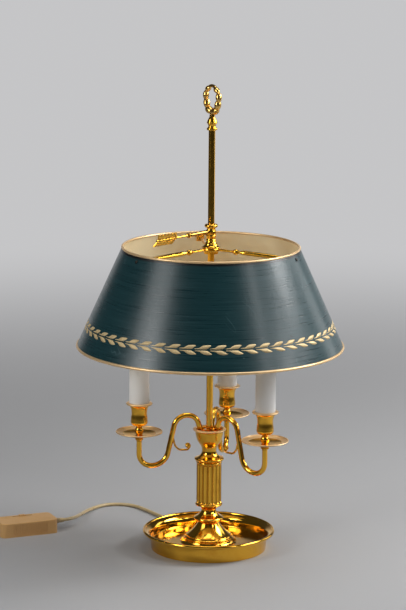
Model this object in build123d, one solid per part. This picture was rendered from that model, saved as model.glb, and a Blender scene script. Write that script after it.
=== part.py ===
"""Bouillotte lamp: a brass dish and fluted column, three candle arms, and a painted metal shade that slides
and turns on a tall rod, with an arrow key, a wreath finial, a cord dimmer and a flat two-pin plug.

Millimetres. The origin is the middle of the felt foot on the table; +Z is up, -Y is the front, +X the right.
"""

from build123d import *
import math
import os

# --- Clearances --------------------------------------------------------------------------------------------
FIT = 0.2            # radial room of a seated piece on its tube, nipple or screw
RUN = 0.05           # radial room of a piece that slides or turns on another
GAP = 0.3            # room between two curved pieces that only meet

# --- Base dish ---------------------------------------------------------------------------------------------
SHEET = 1.2          # spun brass
DISH_FOOT_R = 77.9
DISH_FLARE = 1.5     # how much wider the wall is at its top
DISH_RIM_R = 89.4
DISH_H = 26.4
DISH_BEAD_R = 2.2
DISH_WALL_H = 18.5
DISH_FLOOR_Z = 9.0
DISH_LIFT = 0.5      # the wall stops this much above the table
FELT_T = 1.5
WEIGHT_BORE_R = 14.5

# --- Threaded stem through the base and column -------------------------------------------------------------
STEM_R = 4.9
STEM_BORE_R = 3.5
STEM_FOOT_Z = 3.6
WASHER_R = 12.0
WASHER_T = 0.8
NUT_FLATS = 17.0
NUT_T = 3.2

# --- Column, from the dish up ------------------------------------------------------------------------------
FOOT_R = 38.0
FOOT_H = 28.5
FOOT_NECK_R = 13.4
FOOT_WALL = 2.2
BASE_H = 24.9
RING_R = 19.5         # sharp ring of the mouldings above and below the shaft
NECK_R = 9.8
SHAFT_R = 16.8
SHAFT_H = 56.5
FLUTES = 16
FLUTE_R = 3.3
FLUTE_WIDTH = 5.8
FLUTE_END = 2.0      # plain metal left above and below the flutes
FLUTE_TURN = -5.6    # degrees from the X axis to the first ridge between flutes
CAP_H = 17.1
CUP_H = 30.4
CUP_RIM_R = 21.7
CUP_SEAT_H = 20.0    # depth of solid metal under the arm hub
HUB_R = 16.4
HUB_T = 5.5
SOCKET_DEPTH = 3.0
COUPLER_R = 7.2
COUPLER_T = 3.5
STEM_IN_COUPLER = 1.7

# --- Rod and finial ----------------------------------------------------------------------------------------
ROD_R = 4.5
ROD_TOP_Z = 570.7
KNOB_H = 20.0
KNOB_R = 6.9
WREATH_R = 17.0
WREATH_DEPTH_R = 3.6 # half the depth of the leafy ring
WREATH_WIRE_R = 2.2
WREATH_TURN = -60.0  # degrees from +X to the plane of the wreath
WREATH_STEM = 1.0
WREATH_STEM_R = 3.3
WREATH_LEAVES = 4    # on each of the two branches
LEAF_LENGTH = 18.5   # the lowest leaf; the top one is a quarter smaller
LEAF_R = 5.0
LEAF_LEAN = 12.0     # degrees that a leaf turns in from the ring's tangent
LEAF_SPLAY = 10.0    # degrees more or less, leaf by leaf

# --- Candle arms -------------------------------------------------------------------------------------------
ARM_NAMES = ("left", "right", "back")
ARM_TURNS = (190.5, 320.5, 75.5)
ARM_WIRE_R = 3.6
ARM_ROOT = 11.4      # from the lamp's axis to the arm's root
ARM_REACH = 95.7     # from the lamp's axis to the candle's axis
ARM_TOP_Z = 185.2
ARM_DIP_Z = 117.4
ARM_END_Z = 152.0
ARM_CREST = (18.9, 45.3)                # from the lamp's axis to the corners of the crest, and of the dip
ARM_DIP = 60.2
ARM_BENDS = (8.0, 15.0, 18.0, 22.0, 16.8)
SCROLL_ROUTE = ((50.4, 158.0), (47.2, 144.0), (41.5, 137.7), (29.5, 137.5), (25.6, 142.6), (29.4, 147.2),
                (32.6, 143.8))
SCROLL_BENDS = (10.0, 8.0, 4.4, 3.6, 2.4)
SCROLL_BALL = (30.0, 142.6)
SCROLL_WIRE_R = 1.35
SCROLL_BALL_R = 2.6
NIPPLE_R = 2.6
NIPPLE_BORE_R = 1.6
NIPPLE_SOCKET = 6.0
COLLAR_NUT_H = 7.5
COLLAR_NUT_R = 5.3
PAN_R = 31.5
PAN_DEPTH = 6.5
PAN_SHEET = 1.6
PAN_BEAD_R = 0.95
CUP_BALL_R = 6.0
CANDLE_CUP_H = 41.6
CANDLE_CUP_R = 11.1
CANDLE_CUP_RIM_R = 17.7
SLEEVE_R = 13.5
SLEEVE_WALL = 0.9
SLEEVE_H = 97.5
HOLDER_R = 11.9
HOLDER_H = 92.0
HOLDER_LEG_R = 6.0
HOLDER_LEG_H = 46.0
CAP_R = 6.9          # E14 bulb cap
CAP_LENGTH = 22.0
BULB_ABOVE = 3.0     # the cap's top above its holder
BULB_R = 17.2
BULB_H = 74.0

# --- Shade and its slider ----------------------------------------------------------------------------------
SHADE_FOOT_R = 178.3
SHADE_FOOT_Z = 280.5
SHADE_TOP_R = 118.0
SHADE_H = 134.0
SHADE_WALL = 0.8
FOOT_BEAD_R = 1.9
TOP_BEAD_R = 1.7
BEAD_BITE = 0.4      # how far the middle of a bead lies inside the cone's edge
BEAD_FLAT = 0.02     # how much the rolling flattens a bead on each of its eight sides
SPIDER_TURNS = (-22.8, 97.2, 217.2)
SPIDER_HUB_R = 11.4
SPIDER_HUB_Z = 408.9
SPIDER_HUB_T = 4.6
SPIDER_KNUCKLE_R = 3.9
SPIDER_KNUCKLE_AT = 36.0
SPIDER_BELLY_R = 3.1
SPIDER_TIP_R = 1.5
SHADE_SCREW_Z = 406.5
SHADE_SCREW_R = 1.45
SHADE_SCREW_HEAD_R = 2.3
SHADE_SCREW_HEAD_T = 1.3
TAB_W = 10.0
TAB_T = 1.6
SLIDER_NECK_R = 7.6
SLIDER_FLANGE_R = 11.8
SLIDER_H = 31.9      # from the flange to the top ring
SLIDER_RING_R = 8.9
SLIDER_NUT_H = 3.4
SLIDER_NUT_R = 9.6

# --- Arrow key ---------------------------------------------------------------------------------------------
KEY_TURN = 228.0
KEY_ABOVE_FLANGE = 21.5
KEY_SCREW_R = 1.9
KEY_BALL_AT = 43.5
KEY_BALL_R = 3.6
KEY_SHAFT_R = 1.5
KEY_VANE_AT = 68.0
KEY_LENGTH = 108.8
KEY_VANE_H = 9.0
KEY_VANE_T = 1.6
KEY_BARBS = 6
KEY_BARB_LEAN = 4.0
KEY_ROLL = 30.0      # degrees that the vane leans from upright
KEY_SLEEVE_AT = 8.5
KEY_SLEEVE_R = 3.2

# --- Cord, dimmer and plug ---------------------------------------------------------------------------------
CORD_D = 4.8
LEAD_R = 0.75        # one insulated conductor inside the lamp
LEAD_Z = 2.6
EXIT_TURN = 112.0
EXIT_Z = 4.8
RELIEF_LENGTH = 20.0
RELIEF_FOOT_R = 4.1
RELIEF_TIP_R = 3.1
RELIEF_NECK_R = 3.0
RELIEF_NECK_LENGTH = 3.4
DIMMER_LENGTH = 82.0
DIMMER_WIDTH = 40.0
DIMMER_HEIGHT = 20.0
DIMMER_WALL = 1.8
DIMMER_TURN = 23.4
DIMMER_MIDDLE = (-252.5, 64.7)
DIMMER_CORNER_R = 7.0
DIMMER_CORD_Z = 12.0
DIMMER_RIB_PITCH = 3.2
DIMMER_RIB_DEPTH = 0.6
DIMMER_SCREW_IN = 30.0
DIMMER_SCREW_R = 1.4
DIMMER_POST_R = 3.2
LAMP_SIDE_RELIEF = 14.0
SLIDE_ACROSS = 14.0  # from the middle of the dimmer's top to the middle of its slot
SLIDE_SLOT_W = 3.0
SLIDE_TRAVEL = 12.0  # each way
SLIDE_KNOB = (9.0, 6.4, 1.2)
COIL_MIDDLE = (-371.6, 50.9)
COIL_RING_R = 26.5   # from the coil's middle to the middle of its turns
COIL_LIFT = 1.0
COIL_TURNS_WIDE = 3
COIL_TURNS_HIGH = 3
TIE_TURN = 40.0
TIE_W = 6.0
TIE_T = 0.8
PLUG_LENGTH = 37.0
PLUG_WIDTH = 35.3
PLUG_THICK = 13.7
PLUG_NOSE_W = 26.0
PIN_R = 2.0
PIN_LENGTH = 19.0
PIN_SPACING = 18.6
PIN_SEAT = 8.0

# --- Free cord: points chosen by hand between the ends that follow from the pieces ------------------------
LAMP_CORD_ROUTE = (
    (-43.9, 108.4, 3.6), (-55.2, 125.0, 2.45), (-68.6, 145.4, 2.45), (-86.0, 171.5, 2.45),
    (-104.6, 197.6, 2.45), (-128.0, 207.0, 2.45), (-151.0, 200.4, 2.45), (-167.6, 176.8, 3.1),
    (-178.0, 147.0, 5.2), (-182.6, 116.0, 9.6), (-190.6, 92.3, 12.2))
COIL_CORD_ROUTE = ((-326.9, 32.5, 10.4), (-344.8, 26.0, 6.0), (-363.0, 20.8, 3.4))
PLUG_CORD_ROUTE = ((-402.4, 45.5, 13.0), (-405.0, 60.0, 12.4), (-410.0, 78.4, 8.2), (-412.4, 98.0, 7.0))
PLUG_REAR = (-414.2, 116.0)
PLUG_TURN = 97.0

# --- Heights that follow from the sizes above --------------------------------------------------------------
DISH_UNDERSIDE = DISH_FLOOR_Z - SHEET
FOOT_TOP = DISH_FLOOR_Z + FOOT_H
BASE_TOP = FOOT_TOP + BASE_H
SHAFT_TOP = BASE_TOP + SHAFT_H
CAP_TOP = SHAFT_TOP + CAP_H
CUP_TOP = CAP_TOP + CUP_H
HUB_Z = CAP_TOP + CUP_SEAT_H
HUB_TOP = HUB_Z + HUB_T
STEM_TOP = HUB_TOP + STEM_IN_COUPLER
COUPLER_TOP = HUB_TOP + COUPLER_T
KNOB_TOP = ROD_TOP_Z + KNOB_H
ARM_ROOT_Z = HUB_TOP - SOCKET_DEPTH
PAN_Z = ARM_END_Z + COLLAR_NUT_H
PAN_FLOOR = PAN_Z + PAN_SHEET
CANDLE_Z = PAN_FLOOR + CANDLE_CUP_H
SLEEVE_TOP = CANDLE_Z + SLEEVE_H
SHADE_TOP_Z = SHADE_FOOT_Z + SHADE_H
FLANGE_Z = SPIDER_HUB_Z + SPIDER_HUB_T + RUN
KEY_Z = FLANGE_Z + KEY_ABOVE_FLANGE
CORD_R = CORD_D / 2
COIL_WIDE = COIL_TURNS_WIDE * CORD_D
COIL_HIGH = COIL_TURNS_HIGH * CORD_D
SHADE_LEAN = math.degrees(math.atan2(SHADE_FOOT_R - SHADE_TOP_R, SHADE_H))


# --- Helpers -----------------------------------------------------------------------------------------------
def outline(*moves):
    """Closed face. A move of two numbers runs straight to that point; a third number makes it an arc that
    stands out by so much to the left of the way it runs."""
    sides = []
    here = moves[0][:2]
    for move in moves[1:] + (moves[0][:2],):
        there = move[:2]
        sides.append(SagittaArc(here, there, move[2]) if len(move) == 3 else Line(here, there))
        here = there
    return make_face(Curve() + sides)


def turned(*moves):
    """Solid turned about Z from an outline of (radius, height) points."""
    return revolve(Plane.XZ * outline(*moves), Axis.Z)


def post(radius, low, high):
    """Upright round bar between two heights."""
    return Pos(0, 0, low) * Cylinder(radius, high - low, align=(Align.CENTER, Align.CENTER, Align.MIN))


def pipe(outer, inner, low, high):
    return post(outer, low, high) - post(inner, low - 1, high + 1)


def bar(radius, start, end, height=0.0):
    """Round bar along +X between two distances from the axis."""
    along = Cylinder(radius, end - start, align=(Align.CENTER, Align.CENTER, Align.MIN))
    return Pos(start, 0, height) * Rot(0, 90, 0) * along


def along_x(*moves):
    """Solid turned about X from an outline of (distance along X, radius) points."""
    return revolve(Plane.XY * outline(*moves), Axis.X)


def corner_radii(points):
    """The radius of each corner of a route: 0.45 of its shorter run over the tangent of half the turn."""
    radii = []
    for before, corner, after in zip(points, points[1:], points[2:]):
        arrive = Vector(*corner) - Vector(*before)
        leave = Vector(*after) - Vector(*corner)
        half_turn = math.radians(arrive.get_angle(leave)) / 2
        radii.append(0.45 * min(arrive.length, leave.length) / math.tan(half_turn))
    return radii


def wire_along(points, radius, radii=None):
    """Round wire along straight runs joined by tangent arcs."""
    path = FilletPolyline(*points, radius=radii or corner_radii(points))
    return sweep(Plane(origin=path @ 0, z_dir=path % 0) * Circle(radius), path=path)


def cord(name, points):
    """Cord tube; prints its radii, its length and how well its volume fits its section."""
    radii = corner_radii(points)
    path = FilletPolyline(*points, radius=radii)
    tube = wire_along(points, CORD_R, radii)
    full = math.pi * CORD_R**2 * path.length
    print(name, "radii", [round(r, 1) for r in radii], "length", round(path.length, 1),
          "volume over section times length", round(tube.volume / full, 4))
    return tube


def polar(radius, turn, height):
    angle = math.radians(turn)
    return (radius * math.cos(angle), radius * math.sin(angle), height)


# --- Base --------------------------------------------------------------------------------------------------
def dish_base():
    """Spun dish with a flared lip, a rolled edge, and holes for the stem and the cord."""
    foot_in = DISH_FOOT_R - SHEET
    wall_top = DISH_FOOT_R + DISH_FLARE
    bead_r = DISH_RIM_R - DISH_BEAD_R
    bead_z = DISH_H - DISH_BEAD_R
    cove = 1.5
    shell = turned(
        (STEM_R + FIT, DISH_UNDERSIDE), (foot_in, DISH_UNDERSIDE), (foot_in, DISH_LIFT),
        (DISH_FOOT_R, DISH_LIFT), (wall_top, DISH_WALL_H), (bead_r, bead_z - SHEET / 2, cove),
        (bead_r, bead_z + SHEET / 2), (wall_top - SHEET, DISH_WALL_H + SHEET / 2, -cove),
        (foot_in, DISH_FLOOR_Z + cove), (foot_in - cove, DISH_FLOOR_Z, -cove / 4),
        (STEM_R + FIT, DISH_FLOOR_Z))
    bead = Pos(0, 0, bead_z) * Torus(bead_r, DISH_BEAD_R)
    exit_hole = Rot(0, 0, EXIT_TURN) * bar(RELIEF_NECK_R + GAP / 3, foot_in - 3, DISH_FOOT_R + 3, EXIT_Z)
    return shell + bead - exit_hole


def base_weight():
    """Iron ring glued under the dish's floor, with a slot for the conductors."""
    outer = DISH_FOOT_R - SHEET - 1.0
    ring = pipe(outer, WEIGHT_BORE_R, FELT_T, DISH_UNDERSIDE)
    slot_w = 2 * RELIEF_NECK_R + 1
    slot = Pos(outer / 2 + 5, 0, DISH_UNDERSIDE / 2) * Box(outer, slot_w, DISH_UNDERSIDE + 4)
    return ring - Rot(0, 0, EXIT_TURN) * slot


def felt_pad():
    return post(DISH_FOOT_R - SHEET - GAP, 0, FELT_T)


def base_washer():
    return pipe(WASHER_R, STEM_R + FIT, DISH_UNDERSIDE - WASHER_T, DISH_UNDERSIDE)


def base_nut():
    top = DISH_UNDERSIDE - WASHER_T
    hexagon = extrude(Pos(0, 0, top - NUT_T) * RegularPolygon(NUT_FLATS / 2, 6, major_radius=False), NUT_T)
    return hexagon - post(STEM_R + FIT / 2, top - NUT_T - 1, top + 1)


def stem_tube():
    return pipe(STEM_R, STEM_BORE_R, STEM_FOOT_Z, STEM_TOP)


def lamp_wiring():
    """Two conductors from the cord's exit to the stem's foot and up to the arm hub."""
    start = exit_radius() - RELIEF_NECK_LENGTH
    top = HUB_Z
    leads = []
    for side in (-1, 1):
        across = side * (LEAD_R + 0.15)
        points = [(start, across, LEAD_Z), (0, across, LEAD_Z), (0, across, top)]
        leads.append(Rot(0, 0, EXIT_TURN) * wire_along(points, LEAD_R, [3.0]))
    return leads


# --- Column ------------------------------------------------------------------------------------------------
def cone_foot():
    """Hollow flared foot with two ring steps near its edge."""
    bore = STEM_R + FIT
    low = DISH_FLOOR_Z
    top = FOOT_TOP
    step = low + 6.0
    return turned(
        (FOOT_R - FOOT_WALL, low), (FOOT_R, low), (FOOT_R, low + 0.7), (FOOT_R - 3.6, step - 1.8, 0.5),
        (FOOT_R - 3.6, step - 0.6, -0.4), (FOOT_R - 5.2, step, 0.1), (FOOT_R - 5.2, step + 1.4, -0.4),
        (FOOT_R - 7.4, step + 3.2, 0.3), (FOOT_R - 7.6, step + 4.2, -0.3), (FOOT_R - 9.4, step + 5.4),
        (FOOT_NECK_R, top, 1.3), (bore, top), (bore, top - 3), (FOOT_NECK_R - FOOT_WALL, top - 3),
        (FOOT_R - 9.4 - FOOT_WALL, step + 3.6, -1.3), (FOOT_R - 6.5 - FOOT_WALL, step - 2.4))


def column_base():
    """Turned moulding between the foot and the fluted shaft: ring, cove, waist and a ring under the shaft."""
    bore = STEM_R + FIT
    low = FOOT_TOP
    top = BASE_TOP
    waist = low + 16.0
    return turned(
        (bore, low), (FOOT_NECK_R, low), (RING_R - 1.3, low + 1.6, 0.6), (RING_R, low + 2.6),
        (RING_R, low + 5.4, -0.5), (RING_R - 1.2, low + 6.4), (NECK_R, waist, 1.6), (NECK_R, waist + 0.6),
        (SHAFT_R - 2.0, top - 3.4, 0.9), (SHAFT_R - 1.2, top - 2.6), (SHAFT_R + 0.9, top - 2.4),
        (SHAFT_R + 0.9, top, -0.8), (bore, top))


def fluted_column():
    """Round shaft with hollow flutes that end in round stops."""
    shaft = pipe(SHAFT_R, STEM_R + FIT, BASE_TOP, SHAFT_TOP)
    middle = math.sqrt(SHAFT_R**2 - (FLUTE_WIDTH / 2) ** 2) + math.sqrt(FLUTE_R**2 - (FLUTE_WIDTH / 2) ** 2)
    low = BASE_TOP + FLUTE_END + FLUTE_R / 2
    high = SHAFT_TOP - FLUTE_END - FLUTE_R / 2
    flute = post(FLUTE_R, low, high) + Pos(0, 0, low) * Sphere(FLUTE_R) + Pos(0, 0, high) * Sphere(FLUTE_R)
    pitch = 360 / FLUTES
    cutters = [Rot(0, 0, FLUTE_TURN + (n + 0.5) * pitch) * Pos(middle, 0, 0) * flute for n in range(FLUTES)]
    return shaft - cutters


def column_cap():
    """Turned moulding above the shaft: fillet, ring and a cove up to the cup's neck."""
    bore = STEM_R + FIT
    low = SHAFT_TOP
    top = CAP_TOP
    return turned(
        (bore, low), (SHAFT_R + 0.3, low), (SHAFT_R + 0.3, low + 1.8, -0.4), (SHAFT_R + 0.9, low + 2.6),
        (RING_R - 0.2, low + 4.2, -0.2), (RING_R - 0.2, low + 6.8, -0.7), (RING_R - 1.4, low + 7.4),
        (NECK_R - 0.2, top, 2.3), (bore, top))


def arm_hub_cup():
    """Vase-shaped cup with a thick lip that holds the arm hub."""
    bore = STEM_R + FIT
    low = CAP_TOP
    top = CUP_TOP
    room = HUB_R + FIT
    neck = NECK_R - 0.2
    return turned(
        (bore, low), (neck, low), (neck + 3.6, low + 9.0, 0.6), (HUB_R + 1.5, low + 19.0, -0.7),
        (HUB_R + 2.4, top - 5.4, -0.2), (CUP_RIM_R - 0.6, top - 2.6, 0.8), (CUP_RIM_R - 0.3, top - 0.5, -1.0),
        (CUP_RIM_R - 2.4, top), (room + 1.2, HUB_TOP, -0.4), (room, HUB_TOP - 1.5), (room, HUB_Z),
        (bore, HUB_Z))


def arm_hub():
    """Brass disc in the cup with a socket for the root of each arm."""
    disc = pipe(HUB_R, STEM_R + FIT, HUB_Z, HUB_TOP)
    sockets = [Rot(0, 0, turn) * Pos(ARM_ROOT, 0, 0) * post(ARM_WIRE_R + FIT / 2, ARM_ROOT_Z, HUB_TOP + 1)
               for turn in ARM_TURNS]
    return disc - sockets


def rod_coupler():
    """Round nut that joins the stem to the rod."""
    body = post(COUPLER_R, HUB_TOP, COUPLER_TOP) - post(STEM_R + FIT / 2, HUB_TOP - 1, STEM_TOP)
    return body - post(ROD_R + FIT / 2, STEM_TOP, COUPLER_TOP + 1)


def rod():
    return post(ROD_R, STEM_TOP, ROD_TOP_Z)


def finial_knob():
    """Turned cap of the rod: flange, neck, bell and a thin neck under the wreath."""
    low = ROD_TOP_Z
    top = KNOB_TOP
    return turned(
        (0, low), (KNOB_R - 0.4, low), (KNOB_R - 0.2, low + 3.0, -0.5), (KNOB_R - 1.7, low + 6.4, 0.8),
        (KNOB_R - 1.2, low + 7.6), (KNOB_R - 0.2, low + 9.2), (KNOB_R - 0.2, low + 10.8, -0.4),
        (KNOB_R - 3.3, low + 17.6, -0.3), (KNOB_R - 3.3, top), (0, top))


def wreath_ring():
    """Cast wreath standing on the knob: two laurel branches that meet at its top, and a short stem."""
    ring = Torus(WREATH_R, WREATH_WIRE_R)
    pitch = 160 / WREATH_LEAVES
    leaves = []
    for side in (-1, 1):
        for n in range(WREATH_LEAVES):
            size = 1 - n / WREATH_LEAVES / 3
            leaf = along_x((LEAF_LENGTH * size, 0), (0, 0, -LEAF_R * size))
            lean = LEAF_LEAN + (LEAF_SPLAY if n % 2 else -LEAF_SPLAY)
            along = Pos(WREATH_R, 0, 0) * Rot(0, 0, side * (90 + lean)) * Pos(-0.3 * LEAF_LENGTH, 0, 0)
            leaves.append(Rot(0, 0, -90 + side * (14 + n * pitch)) * along * leaf)
    standing = Rot(0, 0, WREATH_TURN) * Rot(90, 0, 0) * (ring + leaves)
    stem_top = KNOB_TOP + WREATH_STEM + WREATH_DEPTH_R
    stem = post(WREATH_STEM_R, KNOB_TOP, stem_top)
    return Pos(0, 0, stem_top + WREATH_R) * standing - post(2 * WREATH_R, ROD_TOP_Z, KNOB_TOP) + stem


# --- Candle arms: made along +X, then turned into place ----------------------------------------------------
def arm():
    """Cast arm: up out of the hub, over, down, and up again under the pan, with a scroll on its inside."""
    route = ((ARM_ROOT, ARM_ROOT_Z), (ARM_ROOT, HUB_TOP + 1), (ARM_CREST[0], ARM_TOP_Z),
             (ARM_CREST[1], ARM_TOP_Z), (ARM_DIP, ARM_DIP_Z), (ARM_REACH, ARM_DIP_Z), (ARM_REACH, ARM_END_Z))
    tube = wire_along([(x, 0, z) for x, z in route], ARM_WIRE_R, ARM_BENDS)
    scroll = wire_along([(x, 0, z) for x, z in SCROLL_ROUTE], SCROLL_WIRE_R, SCROLL_BENDS)
    ball = Pos(SCROLL_BALL[0], 0, SCROLL_BALL[1]) * Sphere(SCROLL_BALL_R)
    socket = Pos(ARM_REACH, 0, 0) * post(NIPPLE_R + FIT / 2, ARM_END_Z - NIPPLE_SOCKET, ARM_END_Z + 1)
    return tube + scroll + ball - socket


def collar_nut():
    """Small turned nut between the arm and the pan."""
    bore = NIPPLE_R + FIT / 2
    low = ARM_END_Z
    return turned((bore, low), (ARM_WIRE_R + 0.3, low), (COLLAR_NUT_R - 0.5, low + 1.6, 0.4),
                  (COLLAR_NUT_R - 0.5, low + 4.2, -0.9), (ARM_WIRE_R + 0.6, low + 5.6, 0.3),
                  (COLLAR_NUT_R + 0.8, PAN_Z - 0.4, 0.3), (COLLAR_NUT_R + 0.8, PAN_Z), (bore, PAN_Z))


def drip_pan():
    """Shallow pan with a beaded edge."""
    bore = NIPPLE_R + FIT / 2
    edge = PAN_R - PAN_BEAD_R
    edge_z = PAN_Z + PAN_DEPTH - PAN_BEAD_R
    flat = 9.0
    dish = turned((bore, PAN_Z), (flat, PAN_Z), (edge, edge_z - 0.5, -0.9), (edge, edge_z + 0.4),
                  (flat + 0.6, PAN_FLOOR, 0.9), (bore, PAN_FLOOR))
    return dish + Pos(0, 0, edge_z) * Torus(edge, PAN_BEAD_R)


def candle_cup():
    """Ball knob and waisted cup with a wide saucer for the candle sleeve."""
    bore = NIPPLE_R + FIT / 2
    low = PAN_FLOOR
    body = CANDLE_CUP_R
    rim = CANDLE_CUP_RIM_R
    saucer = SLEEVE_R + FIT
    return turned(
        (bore, low), (CUP_BALL_R - 2.2, low), (CUP_BALL_R - 2.2, low + 10.6, -2.2),
        (CUP_BALL_R - 1.6, low + 12.2, 0.3), (body - 3.4, low + 13.0), (body + 0.4, low + 18.6, -1.4),
        (body - 0.3, low + 26.0, -0.1), (body - 0.4, CANDLE_Z - 9.0, 0.2), (body + 1.3, CANDLE_Z - 3.2, 0.3),
        (rim - 0.9, CANDLE_Z - 0.2, 0.9), (rim - 0.9, CANDLE_Z + 2.2, -0.9),
        (saucer + 0.3, CANDLE_Z + 2.5, -0.1), (saucer, CANDLE_Z + 2.2), (saucer, CANDLE_Z), (bore, CANDLE_Z))


def arm_nipple():
    """Threaded tube that clamps the nut, pan, cup and lampholder to the arm."""
    return pipe(NIPPLE_R, NIPPLE_BORE_R, ARM_END_Z - NIPPLE_SOCKET, CANDLE_Z + 4)


def lampholder():
    """Holder on a leg inside the sleeve, open at its top for the bulb's cap."""
    top = CANDLE_Z + HOLDER_H
    shoulder = CANDLE_Z + HOLDER_LEG_H
    mouth = top - CAP_LENGTH - 2
    return turned(
        (NIPPLE_R + FIT / 2, CANDLE_Z), (HOLDER_LEG_R, CANDLE_Z), (HOLDER_LEG_R, shoulder - 4),
        (HOLDER_R, shoulder), (HOLDER_R, top), (CAP_R + FIT, top), (CAP_R + FIT, mouth), (2.0, mouth),
        (2.0, CANDLE_Z + 6), (NIPPLE_R + FIT / 2, CANDLE_Z + 6))


def candle_sleeve():
    return pipe(SLEEVE_R, SLEEVE_R - SLEEVE_WALL, CANDLE_Z, SLEEVE_TOP)


def bulb_cap():
    """Screwed metal cap with its contact button."""
    top = CANDLE_Z + HOLDER_H + BULB_ABOVE
    low = top - CAP_LENGTH
    return turned((0, low - 1.4), (1.8, low - 1.4), (2.4, low), (CAP_R - 1.6, low + 1.6),
                  (CAP_R, low + 3.4), (CAP_R, top), (0, top))


def bulb_glass():
    """Candle-shaped glass with a drawn tip."""
    low = CANDLE_Z + HOLDER_H + BULB_ABOVE
    wide = low + 27.0
    tip = low + BULB_H
    return turned((0, low), (CAP_R - 0.6, low), (BULB_R, wide, 2.6), (BULB_R - 5.6, wide + 24, -2.4),
                  (1.3, tip - 1.3, 1.8), (0.5, tip), (0, tip))


# --- Shade, spider and slider ------------------------------------------------------------------------------
def shade_radius(height):
    """Outside radius of the cone at a height."""
    return SHADE_FOOT_R + (SHADE_TOP_R - SHADE_FOOT_R) * (height - SHADE_FOOT_Z) / SHADE_H


def cone_wall(thickness, room, low, high):
    """The cone's wall with some room on both sides of it, between two heights."""
    across = 1 / math.cos(math.radians(SHADE_LEAN))
    outer, inner = room * across, -(thickness + room) * across
    return turned((shade_radius(low) + inner, low), (shade_radius(low) + outer, low),
                  (shade_radius(high) + outer, high), (shade_radius(high) + inner, high))


def screw_place(turn):
    """Where a shade screw goes through the cone: local +X points out along the screw."""
    lean = Rot(0, -SHADE_LEAN, 0)
    return Rot(0, 0, turn) * Pos(shade_radius(SHADE_SCREW_Z), 0, SHADE_SCREW_Z) * lean


def shade_cone():
    wall = cone_wall(SHADE_WALL, 0, SHADE_FOOT_Z, SHADE_TOP_Z)
    return wall - [screw_place(turn) * bar(SHADE_SCREW_R + FIT, -6, 6) for turn in SPIDER_TURNS]


def shade_bead(bead_r, edge, inward):
    """Rolled brass bead, slotted for the cone's edge. Inward is 1 where the cone rises from it, else -1."""
    height = edge + inward * BEAD_BITE
    across = 1 / math.cos(math.radians(SHADE_LEAN))
    outer, inner = RUN * across, -(SHADE_WALL + RUN) * across
    far = height + inward * 2 * bead_r
    slot = make_face(Polyline(
        (shade_radius(edge) + inner, edge), (shade_radius(edge) + outer, edge),
        (shade_radius(far) + outer, far), (shade_radius(far) + inner, far), close=True))
    rolled = Circle(bead_r) & RegularPolygon(bead_r - BEAD_FLAT, 8, major_radius=False)
    section = Pos(shade_radius(height) - SHADE_WALL / 2, height) * rolled - slot
    return revolve(Plane.XZ * section, Axis.Z)


def spider():
    """Hub ring with three turned arms, each ending in a tab screwed to the cone."""
    hub_top = SPIDER_HUB_Z + SPIDER_HUB_T
    middle = (SPIDER_HUB_Z + hub_top) / 2
    bore = SLIDER_NECK_R + RUN
    rim = SPIDER_HUB_R - 0.8
    hub = turned((bore, SPIDER_HUB_Z), (rim, SPIDER_HUB_Z), (rim, hub_top, -0.8), (bore, hub_top))
    inside = shade_radius(SHADE_SCREW_Z) - (SHADE_WALL + GAP / 3) / math.cos(math.radians(SHADE_LEAN))
    root = SPIDER_HUB_R - 1.6
    reach = math.hypot(inside - root, middle - SHADE_SCREW_Z) - TAB_T / 2
    knuckle = SPIDER_KNUCKLE_AT - root
    arm_bar = along_x(
        (0, 0), (0, 1.9), (knuckle - 5, 1.7), (knuckle - 3.6, SPIDER_KNUCKLE_R - 1.3),
        (knuckle + 3.6, SPIDER_KNUCKLE_R - 1.3, 1.3), (knuckle + 5, 1.9), (knuckle + 16, SPIDER_BELLY_R, 0.5),
        (reach - 8, SPIDER_TIP_R, 0.6), (reach, SPIDER_TIP_R), (reach, 0))
    drop = math.degrees(math.atan2(middle - SHADE_SCREW_Z, inside - root))
    tab = Pos(-SHADE_WALL - GAP / 3 - TAB_T / 2, 0, 0) * Box(TAB_T, TAB_W, TAB_W)
    tab -= bar(SHADE_SCREW_R + FIT / 2, -8, 2)
    arms = []
    for turn in SPIDER_TURNS:
        arms.append(Rot(0, 0, turn) * Pos(root, 0, middle) * Rot(0, drop, 0) * arm_bar)
        arms.append(screw_place(turn) * tab)
    screw_room = [screw_place(turn) * bar(SHADE_SCREW_R + FIT / 2, -7, 2) for turn in SPIDER_TURNS]
    return hub + arms - screw_room


def shade_screws():
    """Three round-headed screws through the cone into the spider's tabs."""
    head = along_x((0.1, 0), (0.1, SHADE_SCREW_HEAD_R), (0.5, SHADE_SCREW_HEAD_R),
                   (SHADE_SCREW_HEAD_T, SHADE_SCREW_HEAD_R * 0.5, 0.3), (SHADE_SCREW_HEAD_T, 0))
    screw = head + bar(SHADE_SCREW_R, -4.6, 0.2)
    return [screw_place(turn) * screw for turn in SPIDER_TURNS]


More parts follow.
